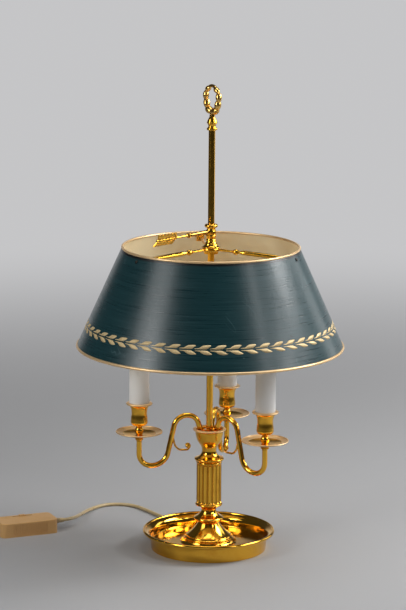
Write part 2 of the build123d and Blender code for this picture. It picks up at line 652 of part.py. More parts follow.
def slider_collar():
    """Turned collar that slides on the rod: flange, swollen neck, two beads and a ring at its top."""
    bore = ROD_R + RUN
    low = FLANGE_Z
    top = FLANGE_Z + SLIDER_H
    foot = SPIDER_HUB_Z - SLIDER_NUT_H
    body = turned(
        (bore, foot), (SLIDER_NECK_R, foot), (SLIDER_NECK_R, low), (SLIDER_FLANGE_R, low),
        (SLIDER_FLANGE_R, low + 1.6, -0.5), (8.2, low + 5.8, 0.9), (6.4, low + 9.2, 0.3),
        (6.4, low + 11.0, -0.3), (6.0, low + 13.0, 0.2), (6.3, low + 14.6), (6.3, low + 17.6, -0.6),
        (6.3, low + 18.2), (6.3, low + 23.6, -0.5), (5.9, low + 24.8), (5.9, top - 5.2, 0.2),
        (SLIDER_RING_R - 2.2, top - 4.9), (SLIDER_RING_R - 2.2, top, -2.2), (bore, top))
    hole = Rot(0, 0, KEY_TURN) * bar(KEY_SCREW_R + RUN, ROD_R - 1, 14, KEY_Z)
    return body - hole


def slider_nut():
    """Round nut under the spider's hub."""
    low = SPIDER_HUB_Z - SLIDER_NUT_H
    return pipe(SLIDER_NUT_R, SLIDER_NECK_R + FIT / 2, low, SPIDER_HUB_Z - RUN)


# --- Arrow key: made along +X, then turned and raised ------------------------------------------------------
def key_place(piece):
    return Pos(0, 0, KEY_Z) * Rot(0, 0, KEY_TURN) * piece


def key_screw():
    """Clamp screw with a tapered sleeve, ending in a ball."""
    end = KEY_BALL_AT - 3
    sleeve = along_x((KEY_SLEEVE_AT, 0), (KEY_SLEEVE_AT, KEY_SLEEVE_R - 0.6),
                     (KEY_SLEEVE_AT + 1, KEY_SLEEVE_R), (end, KEY_SLEEVE_R - 0.9, 0.2), (end, 0))
    ball = Pos(KEY_BALL_AT, 0, 0) * Sphere(KEY_BALL_R)
    socket = bar(KEY_SHAFT_R + FIT / 2, KEY_BALL_AT, KEY_BALL_AT + 2 * KEY_BALL_R)
    return key_place(bar(KEY_SCREW_R, ROD_R + RUN, KEY_BALL_AT) + sleeve + ball - socket)


def key_arrow():
    """Arrow shaft with a vane of slanting barbs above and below it."""
    pitch = (KEY_LENGTH - KEY_VANE_AT - KEY_BARB_LEAN) / KEY_BARBS
    width = 0.75 * pitch
    root = KEY_SHAFT_R * 0.5
    edge = [(KEY_VANE_AT, root)]
    for n in range(KEY_BARBS):
        tip = KEY_VANE_AT + KEY_BARB_LEAN + n * pitch
        edge += [(tip, KEY_VANE_H), (tip + width, KEY_VANE_H),
                 (tip + width - KEY_BARB_LEAN / 2, KEY_VANE_H / 2)]
    edge.append((KEY_LENGTH - KEY_BARB_LEAN - 1, root))
    vane = extrude(Plane.XZ * make_face(Polyline(*edge, close=True)), KEY_VANE_T / 2, both=True)
    shaft = bar(KEY_SHAFT_R, KEY_BALL_AT, KEY_LENGTH - 3)
    return key_place(Rot(-KEY_ROLL, 0, 0) * (shaft + vane + mirror(vane, Plane.XY)))


# --- Cord dimmer: made about its own middle, long side along X ---------------------------------------------
def dimmer_place(piece):
    return Pos(*DIMMER_MIDDLE, 0) * Rot(0, 0, DIMMER_TURN) * piece


def dimmer_point(along, across, height):
    """A point given along, across and above the dimmer, in the lamp's own frame."""
    angle = math.radians(DIMMER_TURN)
    return (DIMMER_MIDDLE[0] + along * math.cos(angle) - across * math.sin(angle),
            DIMMER_MIDDLE[1] + along * math.sin(angle) + across * math.cos(angle), height)


def dimmer_block(inset, low, high):
    plan = RectangleRounded(DIMMER_LENGTH - 2 * inset, DIMMER_WIDTH - 2 * inset, DIMMER_CORNER_R - inset)
    return extrude(Pos(0, 0, low) * plan, high - low)


def dimmer_ribs():
    """Grooves along both long sides that leave ribs between them."""
    count = int((DIMMER_LENGTH - 4 * DIMMER_CORNER_R) / DIMMER_RIB_PITCH)
    grooves = []
    for side in (-1, 1):
        for n in range(count):
            along = (n - (count - 1) / 2) * DIMMER_RIB_PITCH
            groove = Box(DIMMER_RIB_PITCH / 2, 2 * DIMMER_RIB_DEPTH, DIMMER_HEIGHT - 6)
            grooves.append(Pos(along, side * DIMMER_WIDTH / 2, DIMMER_HEIGHT / 2) * groove)
    return grooves


def screw_spots():
    return [(-DIMMER_SCREW_IN, -DIMMER_WIDTH / 4), (DIMMER_SCREW_IN, -DIMMER_WIDTH / 4)]


def dimmer_shell(low, high, floor_low, floor_high):
    """Half of the dimmer's casing, with its cord openings and ribs but no bosses."""
    shell = dimmer_block(0, low, high) - dimmer_block(DIMMER_WALL, floor_low, floor_high)
    openings = [bar(RELIEF_NECK_R + GAP / 3, side * DIMMER_LENGTH / 2 - 6, side * DIMMER_LENGTH / 2 + 6,
                    DIMMER_CORD_Z) for side in (-1, 1)]
    return shell - openings - dimmer_ribs()


def dimmer_bottom():
    split = DIMMER_CORD_Z
    shell = dimmer_shell(0, split, DIMMER_WALL, split + 1)
    posts = [Pos(x, y, 0) * pipe(DIMMER_POST_R, DIMMER_SCREW_R + FIT, DIMMER_WALL / 2, split - 1)
             for x, y in screw_spots()]
    holes = [Pos(x, y, 0) * post(2 * DIMMER_SCREW_R + FIT, -1, DIMMER_WALL / 2 + 1) for x, y in screw_spots()]
    shafts = [Pos(x, y, 0) * post(DIMMER_SCREW_R + FIT, -1, split) for x, y in screw_spots()]
    return dimmer_place(shell + posts - holes - shafts)


def dimmer_top():
    """Upper half with the slot for the slider."""
    split = DIMMER_CORD_Z
    shell = dimmer_shell(split, DIMMER_HEIGHT, split - 1, DIMMER_HEIGHT - DIMMER_WALL)
    shell = fillet(shell.edges().filter_by_position(Axis.Z, DIMMER_HEIGHT, DIMMER_HEIGHT), 1.2)
    slot = Pos(0, SLIDE_ACROSS, DIMMER_HEIGHT) * Box(2 * SLIDE_TRAVEL + SLIDE_SLOT_W + 2, SLIDE_SLOT_W, 8)
    posts = [Pos(x, y, 0) * pipe(DIMMER_POST_R, DIMMER_SCREW_R + RUN, split - 1 + RUN, DIMMER_HEIGHT - 1)
             for x, y in screw_spots()]
    return dimmer_place(shell - slot + posts)


def dimmer_slider():
    """Thumb knob on a stalk through the slot."""
    length, width, height = SLIDE_KNOB
    knob = Pos(0, SLIDE_ACROSS, DIMMER_HEIGHT + GAP + height / 2) * Box(length, width, height)
    knob = fillet(knob.edges().filter_by(Axis.Y).group_by(Axis.Z)[-1], 0.9)
    grooves = [Pos(x, SLIDE_ACROSS, DIMMER_HEIGHT + GAP + height) * Box(0.7, width + 2, 0.8)
               for x in (-1.6, 0, 1.6)]
    stalk_w = SLIDE_SLOT_W - 2 * GAP
    under = DIMMER_HEIGHT - DIMMER_WALL - GAP
    stalk = Pos(0, SLIDE_ACROSS, (under - 1 + DIMMER_HEIGHT + 1) / 2) * Box(
        stalk_w, stalk_w, DIMMER_HEIGHT + 1 - under + 1)
    shoe = Pos(0, SLIDE_ACROSS - 0.6, under - 0.8) * Box(6, 4.4, 1.6)
    return dimmer_place(knob - grooves + stalk + shoe)


def dimmer_board():
    """Circuit board with its choke, laid on the casing's floor."""
    board = Pos(0, 4.0, DIMMER_WALL + 0.8) * Box(50, 24, 1.6)
    choke = Pos(-14, 0, DIMMER_WALL + 1.6) * pipe(7.0, 3.0, 0, 7.0)
    block = Pos(10, 0, DIMMER_WALL + 1.6 + 3.5) * Box(14, 10, 7.0)
    return dimmer_place(board + choke + block)


def dimmer_screws():
    """Two countersunk screws from below."""
    head_top = DIMMER_WALL / 2 + 0.9
    head = post(2 * DIMMER_SCREW_R, 0.4, head_top - 0.1)
    screw = head + post(DIMMER_SCREW_R, head_top - 0.3, DIMMER_CORD_Z + 4)
    return [dimmer_place(Pos(x, y, 0) * screw) for x, y in screw_spots()]


def relief(length):
    """Tapered cord sleeve along +X, with a neck that sits in its wall; its foot is at X = 0."""
    inner = -RELIEF_NECK_LENGTH
    body = along_x((inner, 0), (inner, RELIEF_NECK_R), (0, RELIEF_NECK_R), (0, RELIEF_FOOT_R),
                   (2.2, RELIEF_FOOT_R), (length, RELIEF_TIP_R, -0.1), (length, 0))
    rings = [Pos(x, 0, 0) * Rot(0, 90, 0) * (Cylinder(6, 0.8) - Cylinder(RELIEF_TIP_R - 0.3, 2))
             for x in (4.6, 7.4, 10.2)]
    return body - rings


def dish_relief():
    return Rot(0, 0, EXIT_TURN) * Pos(exit_radius(), 0, EXIT_Z) * relief(RELIEF_LENGTH)


def exit_radius():
    """Distance from the axis to where the cord sleeve's foot meets the dish's leaning wall."""
    return DISH_FOOT_R + DISH_FLARE * (EXIT_Z + RELIEF_FOOT_R - DISH_LIFT) / (DISH_WALL_H - DISH_LIFT)


def dimmer_relief(side, length):
    place = Pos(side * (DIMMER_LENGTH / 2 + GAP / 6), 0, DIMMER_CORD_Z)
    return dimmer_place(place * Rot(0, 0, 0 if side > 0 else 180) * relief(length))


# --- Cord and plug -----------------------------------------------------------------------------------------
def lamp_to_dimmer():
    start = polar(exit_radius() + RELIEF_LENGTH, EXIT_TURN, EXIT_Z)
    end = dimmer_point(DIMMER_LENGTH / 2 + GAP / 6 + LAMP_SIDE_RELIEF, 0, DIMMER_CORD_Z)
    return cord("lamp_to_dimmer", [start, *LAMP_CORD_ROUTE, end])


def dimmer_to_coil():
    start = dimmer_point(-DIMMER_LENGTH / 2 - GAP / 6 - RELIEF_LENGTH, 0, DIMMER_CORD_Z)
    return cord("dimmer_to_coil", [start, *COIL_CORD_ROUTE])


def coil_to_plug():
    return cord("coil_to_plug", [*PLUG_CORD_ROUTE, plug_point(0)])


def plug_point(along):
    """A point on the plug's middle line, from its rear face."""
    angle = math.radians(PLUG_TURN)
    return (PLUG_REAR[0] + along * math.cos(angle), PLUG_REAR[1] + along * math.sin(angle), PLUG_THICK / 2)


def cord_coil():
    """The outer shape of the wound cord, a plain ring."""
    block = RectangleRounded(COIL_WIDE, COIL_HIGH, 0.9 * CORD_R)
    section = Pos(COIL_RING_R, COIL_LIFT + COIL_HIGH / 2) * block
    return Pos(*COIL_MIDDLE, 0) * revolve(Plane.XZ * section, Axis.Z)


def coil_tie():
    """Band around the coil's turns, between the coil and the table."""
    room = 0.8
    low = COIL_LIFT - GAP
    high = COIL_LIFT + COIL_HIGH + GAP
    middle = (low + high) / 2
    outer = Box(COIL_WIDE + 2 * GAP + room + 2 * TIE_T, TIE_W, high - low + 2 * TIE_T)
    inner = Box(COIL_WIDE + 2 * GAP + room, TIE_W + 2, high - low)
    return Pos(*COIL_MIDDLE, 0) * Rot(0, 0, TIE_TURN) * Pos(COIL_RING_R, 0, middle) * (outer - inner)


def plug_body():
    """Flat moulded body, wider at its rear, with a short cord sleeve."""
    half, nose = PLUG_WIDTH / 2, PLUG_NOSE_W / 2
    plan = make_face(Polyline((0, -nose), (PLUG_LENGTH * 0.45, -half), (PLUG_LENGTH, -half + 1.5),
                              (PLUG_LENGTH, half - 1.5), (PLUG_LENGTH * 0.45, half), (0, nose), close=True))
    body = extrude(plan, PLUG_THICK)
    body = fillet(body.edges().filter_by(Axis.Z), 2.5)
    body = chamfer(body.edges().filter_by_position(Axis.Z, 0, 0), 1.5)
    body = chamfer(body.edges().filter_by_position(Axis.Z, PLUG_THICK, PLUG_THICK), 1.5)
    seat = bar(PIN_R + RUN, PLUG_LENGTH - PIN_SEAT, PLUG_LENGTH + 1, PLUG_THICK / 2)
    holes = [Pos(0, side * PIN_SPACING / 2, 0) * seat for side in (-1, 1)]
    return plug_place(body - holes)


def plug_place(piece):
    return Pos(*PLUG_REAR, 0) * Rot(0, 0, PLUG_TURN) * piece


def plug_pins():
    """Two round pins with rounded ends."""
    length = PIN_LENGTH + PIN_SEAT
    pin = along_x((0, 0), (0, PIN_R), (length - 1, PIN_R), (length, PIN_R - 1, 0.3), (length, 0))
    rear = PLUG_LENGTH - PIN_SEAT
    return [plug_place(Pos(rear, side * PIN_SPACING / 2, PLUG_THICK / 2) * pin) for side in (-1, 1)]


# --- All nodes ---------------------------------------------------------------------------------------------
nodes = {
    "dish_base": dish_base(),
    "base_weight": base_weight(),
    "felt_pad": felt_pad(),
    "base_washer": base_washer(),
    "base_nut": base_nut(),
    "stem_tube": stem_tube(),
    "lamp_wiring": lamp_wiring(),
    "cone_foot": cone_foot(),
    "column_base": column_base(),
    "fluted_column": fluted_column(),
    "column_cap": column_cap(),
    "arm_hub_cup": arm_hub_cup(),
    "arm_hub": arm_hub(),
    "rod_coupler": rod_coupler(),
    "rod": rod(),
    "finial_knob": finial_knob(),
    "wreath_ring": wreath_ring(),
    "shade_cone": shade_cone(),
    "shade_foot_bead": shade_bead(FOOT_BEAD_R, SHADE_FOOT_Z, 1),
    "shade_top_bead": shade_bead(TOP_BEAD_R, SHADE_TOP_Z, -1),
    "spider": spider(),
    "shade_screws": shade_screws(),
    "slider_collar": slider_collar(),
    "slider_nut": slider_nut(),
    "key_screw": key_screw(),
    "key_arrow": key_arrow(),
    "dish_relief": dish_relief(),
    "dimmer_bottom": dimmer_bottom(),
    "dimmer_top": dimmer_top(),
    "dimmer_slider": dimmer_slider(),
    "dimmer_board": dimmer_board(),
    "dimmer_screws": dimmer_screws(),
    "dimmer_relief_lamp": dimmer_relief(1, LAMP_SIDE_RELIEF),
    "dimmer_relief_plug": dimmer_relief(-1, RELIEF_LENGTH),
    "cord_lamp_to_dimmer": lamp_to_dimmer(),
    "cord_dimmer_to_coil": dimmer_to_coil(),
    "cord_coil": cord_coil(),
    "coil_tie": coil_tie(),
    "cord_coil_to_plug": coil_to_plug(),
    "plug_body": plug_body(),
    "plug_pins": plug_pins(),
}

candle_pieces = {
    "drip_pan": drip_pan(),
    "candle_cup": candle_cup(),
    "candle_sleeve": candle_sleeve(),
    "bulb_glass": bulb_glass(),
}
for arm_name, arm_turn in zip(ARM_NAMES, ARM_TURNS):
    nodes["arm_" + arm_name] = Rot(0, 0, arm_turn) * arm()
    for piece_name, piece in candle_pieces.items():
        nodes[piece_name + "_" + arm_name] = Rot(0, 0, arm_turn) * Pos(ARM_REACH, 0, 0) * piece

one_per_arm = {
    "collar_nuts": collar_nut(),
    "arm_nipples": arm_nipple(),
    "lampholders": lampholder(),
    "bulb_caps": bulb_cap(),
}
for set_name, piece in one_per_arm.items():
    nodes[set_name] = [Rot(0, 0, turn) * Pos(ARM_REACH, 0, 0) * piece for turn in ARM_TURNS]

os.makedirs("parts", exist_ok=True)
for node_name, shape in nodes.items():
    solids = shape if isinstance(shape, list) else shape.solids()
    export_step(Compound(children=list(solids)) if len(solids) > 1 else solids[0], f"parts/{node_name}.step")
print(len(nodes), "nodes")
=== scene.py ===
"""Looks of the bouillotte lamp: polished brass, a dark blue-green painted shade with a gilt laurel
band, white candle sleeves and a gold-coloured cord with its dimmer. Metres, in the frame of the
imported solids."""

import bpy
import bmesh
import math
from mathutils import Matrix, Vector


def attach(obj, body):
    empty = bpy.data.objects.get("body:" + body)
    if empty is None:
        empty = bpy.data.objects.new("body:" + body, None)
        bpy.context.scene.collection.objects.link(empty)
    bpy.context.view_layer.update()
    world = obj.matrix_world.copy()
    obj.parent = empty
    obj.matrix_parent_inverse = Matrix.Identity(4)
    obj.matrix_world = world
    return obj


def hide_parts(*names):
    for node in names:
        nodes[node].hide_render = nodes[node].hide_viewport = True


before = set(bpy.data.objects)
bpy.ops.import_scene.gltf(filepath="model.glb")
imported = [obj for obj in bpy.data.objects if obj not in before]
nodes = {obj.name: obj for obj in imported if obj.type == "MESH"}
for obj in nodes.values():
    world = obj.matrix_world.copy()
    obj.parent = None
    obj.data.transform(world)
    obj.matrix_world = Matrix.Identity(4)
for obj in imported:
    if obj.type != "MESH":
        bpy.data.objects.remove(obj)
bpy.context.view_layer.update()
scene = bpy.context.scene
MM = 0.001
ARM_TURNS = {"left": 190.5, "right": 320.5, "back": 75.5}     # degrees from +X
CANDLE_REACH = 95.7 * MM     # from the rod to each candle


def placed(name, data):
    """A new object of the scene."""
    thing = bpy.data.objects.new(name, data)
    scene.collection.objects.link(thing)
    return thing


def arm_middle(arm):
    """Where an arm's candle stands, seen from above."""
    turn = math.radians(ARM_TURNS[arm])
    return CANDLE_REACH * math.cos(turn), CANDLE_REACH * math.sin(turn)


# --- Camera ---------------------------------------------------------------------------------------
CAMERA_BACK = 3.600
CAMERA_HEIGHT = 1.0545
CAMERA_LENS = 162.25       # mm
CAMERA_FAR = 30
CAMERA_TURN = -0.00278     # radians to the right
CAMERA_DIP = 0.19717       # radians below level
CAMERA_ROLL = 0.00836

camera_data = bpy.data.cameras.new("camera")
camera_data.lens = CAMERA_LENS
camera_data.clip_end = CAMERA_FAR
camera = placed("camera", camera_data)
camera.matrix_world = (Matrix.Translation((0, -CAMERA_BACK, CAMERA_HEIGHT))
                       @ Matrix.Rotation(-CAMERA_TURN, 4, "Z")
                       @ Matrix.Rotation(math.pi / 2 - CAMERA_DIP, 4, "X")
                       @ Matrix.Rotation(CAMERA_ROLL, 4, "Z"))
scene.camera = camera

# --- Cord -----------------------------------------------------------------------------------------
CORD_D = 4.8 * MM
CORD_LIES_Z = 0.00245      # height of the cord's middle where it lies on the floor
COIL_MIDDLE = (-0.3716, 0.0509)
COIL_FIRST_Z = 3.4 * MM    # height of the lowest turns
COIL_RING = 26.5 * MM      # radius of the middle ring of turns
COIL_ENTRY = 286.0         # degrees
COIL_LAST_STRETCH = 96.0   # degrees past the last whole turn
# Each turn's layer, and its place inside (-1), on (0) or outside (1) the middle ring
COIL_TURNS = [(0, 1), (0, 0), (0, -1), (1, -1), (1, 0), (1, 1), (2, 0), (2, 1)]
POINTS_PER_TURN = 16
SHIFT_POINTS = 4           # points over which a turn moves to its place
# How much further out the points lie than the ring, since the spline runs inside them
SPLINE_WIDEN = 1 / (0.75 + 0.25 * math.cos(2 * math.pi / POINTS_PER_TURN))

LAMP_TO_DIMMER = [
    (-0.03694, 0.09142, 0.00480), (-0.0439, 0.1084, 0.0036), (-0.0552, 0.1250, CORD_LIES_Z),
    (-0.0686, 0.1454, CORD_LIES_Z), (-0.0860, 0.1715, CORD_LIES_Z),
    (-0.1046, 0.1976, CORD_LIES_Z), (-0.1280, 0.2070, CORD_LIES_Z),
    (-0.1510, 0.2004, CORD_LIES_Z), (-0.1676, 0.1768, 0.0031), (-0.1780, 0.1470, 0.0052),
    (-0.1826, 0.1160, 0.0096), (-0.1906, 0.0923, 0.0122), (-0.20198, 0.08656, 0.0120)]
DIMMER_TO_COIL = [
    (-0.30853, 0.04045, 0.0120), (-0.3269, 0.0325, 0.0104), (-0.3448, 0.0260, 0.0060)]
COIL_TO_PLUG = [
    (-0.4050, 0.0600, 0.0124), (-0.4100, 0.0784, 0.0082), (-0.4124, 0.0980, 0.0070),
    (-0.4142, 0.1160, 0.00685)]


def coil_points():
    """Points of the wound turns, clockwise from the entry."""
    last = POINTS_PER_TURN * (len(COIL_TURNS) + COIL_LAST_STRETCH / 360)
    points = []
    for n in range(int(last) + 1):
        turn = min(n // POINTS_PER_TURN, len(COIL_TURNS) - 1)
        shift = min(1.0, (n - turn * POINTS_PER_TURN) / SHIFT_POINTS)
        layer, place = COIL_TURNS[turn]
        layer_before, place_before = COIL_TURNS[max(turn - 1, 0)]
        radius = COIL_RING + CORD_D * (place_before + (place - place_before) * shift)
        height = COIL_FIRST_Z + CORD_D * (layer_before + (layer - layer_before) * shift)
        angle = math.radians(COIL_ENTRY - 360 * n / POINTS_PER_TURN)
        points.append((COIL_MIDDLE[0] + radius * SPLINE_WIDEN * math.cos(angle),
                       COIL_MIDDLE[1] + radius * SPLINE_WIDEN * math.sin(angle), height))
    return points


def cord_curve(name, points):
    """A round cord on one open spline, whose points carry its radius so that its box fits it."""
    curve = bpy.data.curves.new(name, "CURVE")
    curve.dimensions = "3D"
    spline = curve.splines.new("NURBS")
    spline.points.add(len(points) - 1)
    for control, point in zip(spline.points, points):
        control.co = (*point, 1)
        control.radius = CORD_D / 2
    spline.order_u = 3
    spline.use_endpoint_u = True
    curve.resolution_u = 6
    curve.bevel_depth = 1.0
    curve.bevel_resolution = 4
    curve.use_fill_caps = True
    cord = placed(name, curve)
    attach(cord, "lamp_base")
    return cord


lamp_cord = cord_curve("cord_to_dimmer", LAMP_TO_DIMMER)
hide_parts("cord_lamp_to_dimmer")
plug_cord = cord_curve("cord_to_plug", DIMMER_TO_COIL + coil_points() + COIL_TO_PLUG)
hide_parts("cord_dimmer_to_coil", "cord_coil", "cord_coil_to_plug")

# --- Nodes of the shaders -------------------------------------------------------------------------
MIX_COLOURS, MIX_RESULT = (6, 7), 2     # the Mix node's sockets for colours


def add(tree, kind, links=None, **settings):
    """A node with its settings; links maps an input to a socket or a plain value."""
    node = tree.nodes.new(kind)
    for label, value in settings.items():
        setattr(node, label, value)
    for label, value in (links or {}).items():
        socket = node.inputs[label]
        if isinstance(value, bpy.types.NodeSocket):
            tree.links.new(value, socket)
        else:
            socket.default_value = value
    return node


def maths(tree, operation, *values):
    """The result of one calculation on sockets or plain numbers."""
    return add(tree, "ShaderNodeMath", dict(enumerate(values)), operation=operation).outputs[0]


def vector_maths(tree, operation, *values):
    """The node of one calculation on sockets or plain vectors."""
    return add(tree, "ShaderNodeVectorMath", dict(enumerate(values)), operation=operation)


def ramp(tree, value, start, end, low=0.0, high=1.0, **settings):
    """low to high as a value goes from start to end, and level beyond them."""
    return add(tree, "ShaderNodeMapRange", {"Value": value, "From Min": start, "From Max": end,
                                            "To Min": low, "To Max": high},
               **settings).outputs["Result"]


def noise(tree, place, scale, **inputs):
    """The value of a cloudy noise at a place."""
    return add(tree, "ShaderNodeTexNoise",
               {"Vector": place, "Scale": scale, **inputs}).outputs["Fac"]


def mix_colours(tree, share, first, second):
    """The first colour at a share of 0, the second at 1."""
    node = add(tree, "ShaderNodeMix", {0: share}, data_type="RGBA")
    for index, colour in zip(MIX_COLOURS, (first, second)):
        if isinstance(colour, bpy.types.NodeSocket):
            tree.links.new(colour, node.inputs[index])
        else:
            node.inputs[index].default_value = (*colour, 1)
    return node.outputs[MIX_RESULT]


def new_group(name, inputs, outputs):
    """An empty node group; returns it with its input and output nodes."""
    kinds = {float: "NodeSocketFloat", Vector: "NodeSocketVector"}
    tree = bpy.data.node_groups.new(name, "ShaderNodeTree")
    for label, value in inputs.items():
        socket = tree.interface.new_socket(label, in_out="INPUT", socket_type=kinds[type(value)])
        if isinstance(value, float):
            socket.default_value = value
    for label in outputs:
        tree.interface.new_socket(label, in_out="OUTPUT", socket_type=kinds[float])
    return tree, tree.nodes.new("NodeGroupInput"), tree.nodes.new("NodeGroupOutput")


# --- Shader groups --------------------------------------------------------------------------------
# Each range says between which values of a noise its mask goes from 0 to 1
SMUDGE_RANGE, TARNISH_RANGE = (0.3, 0.7), (0.52, 0.78)
RUBBING_FINENESS = 900.0
STREAK_STRETCH = (0.022, 0.022, 1)         # draws the noise out level, round the piece
STREAK_RANGE = (0.34, 0.66)
SCRATCH_AXIS, SCRATCH_TURN = (0.3, 0.9, 0.3), 0.9
SCRATCH_STRETCH = (1.0, 0.9, 0.06)
PATCH_FINENESS, PATCH_RANGE = 18.0, (0.55, 0.65)


def handling_group():
    """Uneven polish: soft smudges and fine rubbing, as a roughness, a tarnish mask and a height."""
    tree, entry, exit_node = new_group(
        "handling", {"Vector": Vector(), "Smooth": 0.1, "Rough": 0.2, "Spot Size": 30.0},
        ["Roughness", "Tarnish", "Height"])
    place = entry.outputs["Vector"]
    smudge = noise(tree, place, entry.outputs["Spot Size"], Detail=4.0, Roughness=0.6)
    rubbing = noise(tree, place, RUBBING_FINENESS, Detail=3.0)
    gloss = ramp(tree, smudge, *SMUDGE_RANGE, entry.outputs["Smooth"], entry.outputs["Rough"])
    tree.links.new(gloss, exit_node.inputs["Roughness"])
    tree.links.new(ramp(tree, smudge, *TARNISH_RANGE), exit_node.inputs["Tarnish"])
    tree.links.new(rubbing, exit_node.inputs["Height"])
    return tree


def streaks_group():
    """Fine level streaks that run round an upright piece, as brushed and spun metal show."""
    tree, entry, exit_node = new_group(
        "level streaks", {"Vector": Vector(), "Fineness": 700.0}, ["Streak"])
    drawn_out = vector_maths(tree, "MULTIPLY", entry.outputs["Vector"], STREAK_STRETCH).outputs[0]
    streak = noise(tree, drawn_out, entry.outputs["Fineness"], Detail=4.0, Roughness=0.65)
    tree.links.new(ramp(tree, streak, *STREAK_RANGE), exit_node.inputs["Streak"])
    return tree


def scratches_group():
    """Sparse thin scratches at odd angles, 1 on a scratch and 0 elsewhere."""
    tree, entry, exit_node = new_group(
        "scratches", {"Vector": Vector(), "Scale": 60.0, "Share": 0.04}, ["Scratch"])
    place = entry.outputs["Vector"]
    turned = add(tree, "ShaderNodeVectorRotate",
                 {"Vector": place, "Angle": SCRATCH_TURN, "Axis": SCRATCH_AXIS},
                 rotation_type="AXIS_ANGLE").outputs[0]
    drawn_out = vector_maths(tree, "MULTIPLY", turned, SCRATCH_STRETCH).outputs[0]
    wander = noise(tree, drawn_out, entry.outputs["Scale"], Detail=1.0, Distortion=0.4)
    away = maths(tree, "ABSOLUTE", maths(tree, "SUBTRACT", wander, 0.5))
    line = ramp(tree, away, 0.0, entry.outputs["Share"], 1.0, 0.0)
    patch = ramp(tree, noise(tree, place, PATCH_FINENESS), *PATCH_RANGE)
    tree.links.new(maths(tree, "MULTIPLY", line, patch), exit_node.inputs["Scratch"])
    return tree


handling = handling_group()
streaks = streaks_group()
scratches = scratches_group()

# --- Materials ------------------------------------------------------------------------------------
GOLD = (0.87, 0.48, 0.055)
GOLD_DEEP = (0.64, 0.30, 0.03)
# Paler satin gold; on cup and pan flanges and lips it is partly a painted floor reflection
RIM_GOLD = (0.82, 0.57, 0.30)
RIM_GLOSS = 0.36             # roughness of the satin rims
RIM_METALLIC = 0.6
FLANGE_BLEND = 0.3 * MM      # half the width over which a satin flange begins
LIP_BLEND = 0.2 * MM
POLISHING_LINES = 2600.0     # fineness of the lines on turned brass

FLUTES = 16
FLUTE_START = -0.25          # share of a flute that brings a flute's middle to a whole number
FLUTE_EDGE = 0.42            # share of a flute from its middle to its edge
# Painted shade: darker colour along the edges of the flutes, where they shade each other
FLUTE_SHADE = (0.24, 0.09, 0.012)
FLUTE_SHADE_RANGE = (0.075, 0.02)     # shares of a flute off its edge, from none to most of it
FLUTE_SHADE_MOST = 0.85

PAINT, PAINT_STREAK = (0.0025, 0.026, 0.031), (0.008, 0.044, 0.051)
PAINT_SCRATCH = (0.045, 0.10, 0.11)
PAINT_CHIP = (0.16, 0.23, 0.23)
PAINT_ROUGHNESS = (0.26, 0.37)     # between and on the streaks
STREAK_FINENESS = 640.0
SCRATCH_SHARE = 0.014
CHIP_FINENESS = 30.0
CHIP_RANGE = (0.028, 0.014)     # distances from a chip's middle, from none to all of it
DARK_SCRATCH = (0.004, 0.008, 0.010)
DARK_SCRATCH_ENDS = (102.5, -124.0, 321.0), (118.0, -110.0, 311.5)     # in mm
DARK_SCRATCH_WIDTH = 0.8     # in mm
MARK_CORE = 0.4              # share of a mark's width at which it is full
# Painted shadow: a dark ring in the paint just under the top bead, between these heights
BEAD_SHADOW = (0.003, 0.005, 0.005)
BEAD_SHADOW_FROM_Z, BEAD_SHADOW_FULL_Z = 0.4092, 0.4106
GLOSSIER, DULLER = 0.06, 0.08     # how far a plain material's spots stray from its roughness

# Name, its two close shades, roughness, the grain's fineness and strength, the fineness of its
# soft spots, and other sockets of its shader
PLAIN_MATERIALS = [
    ("shade_inside", (0.95, 0.80, 0.51), (0.86, 0.66, 0.36), 0.34, 700, 0.08, 12,
     {"Metallic": 0.25}),
    ("gilding", (0.66, 0.50, 0.26), (0.52, 0.37, 0.17), 0.54, 900, 0.2, 90, {"Metallic": 0.30}),
    ("candle_card", (0.86, 0.86, 0.85), (0.79, 0.78, 0.75), 0.40, 600, 0.12, 20, {}),
    ("cord_sheath", (0.50, 0.38, 0.20), (0.42, 0.31, 0.15), 0.30, 900, 0.08, 60, {}),
    ("dimmer_shell", (0.64, 0.37, 0.14), (0.57, 0.32, 0.11), 0.40, 1400, 0.2, 30, {}),
    ("brown_plastic", (0.09, 0.05, 0.025), (0.12, 0.07, 0.03), 0.42, 1200, 0.2, 40, {}),
    ("black_plastic", (0.02, 0.02, 0.02), (0.04, 0.04, 0.04), 0.40, 1200, 0.2, 40, {}),
    ("circuit_board", (0.03, 0.16, 0.06), (0.05, 0.20, 0.08), 0.45, 300, 0.3, 40, {}),
    ("steel", (0.55, 0.55, 0.55), (0.42, 0.41, 0.39), 0.30, 900, 0.1, 40, {"Metallic": 1.0}),
    ("screw_dark", (0.05, 0.045, 0.04), (0.09, 0.07, 0.05), 0.38, 900, 0.1, 40,
     {"Metallic": 1.0}),
    ("nickel", (0.72, 0.70, 0.66), (0.60, 0.57, 0.52), 0.20, 900, 0.05, 40, {"Metallic": 1.0}),
    ("iron", (0.06, 0.06, 0.06), (0.10, 0.08, 0.07), 0.65, 300, 0.6, 40, {}),
    ("felt", (0.03, 0.08, 0.04), (0.04, 0.10, 0.05), 0.92, 1500, 0.9, 40, {"Sheen Weight": 0.5}),
    ("wire", (0.30, 0.13, 0.05), (0.34, 0.16, 0.06), 0.40, 900, 0.1, 40, {}),
    ("bulb_glass", (0.98, 0.98, 0.97), (0.94, 0.94, 0.93), 0.10, 900, 0.02, 40,
     {"Transmission Weight": 1.0, "IOR": 1.45}),
]
materials = {}


def new_material(name, sockets):
    """Makes a material with one Principled shader; returns its tree, shader and coordinates."""
    material = bpy.data.materials.new(name)
    material.use_nodes = True
    materials[name] = material
    tree = material.node_tree
    shader = tree.nodes["Principled BSDF"]
    for label, value in sockets.items():
        shader.inputs[label].default_value = value
    return tree, shader, add(tree, "ShaderNodeTexCoord").outputs["Object"]


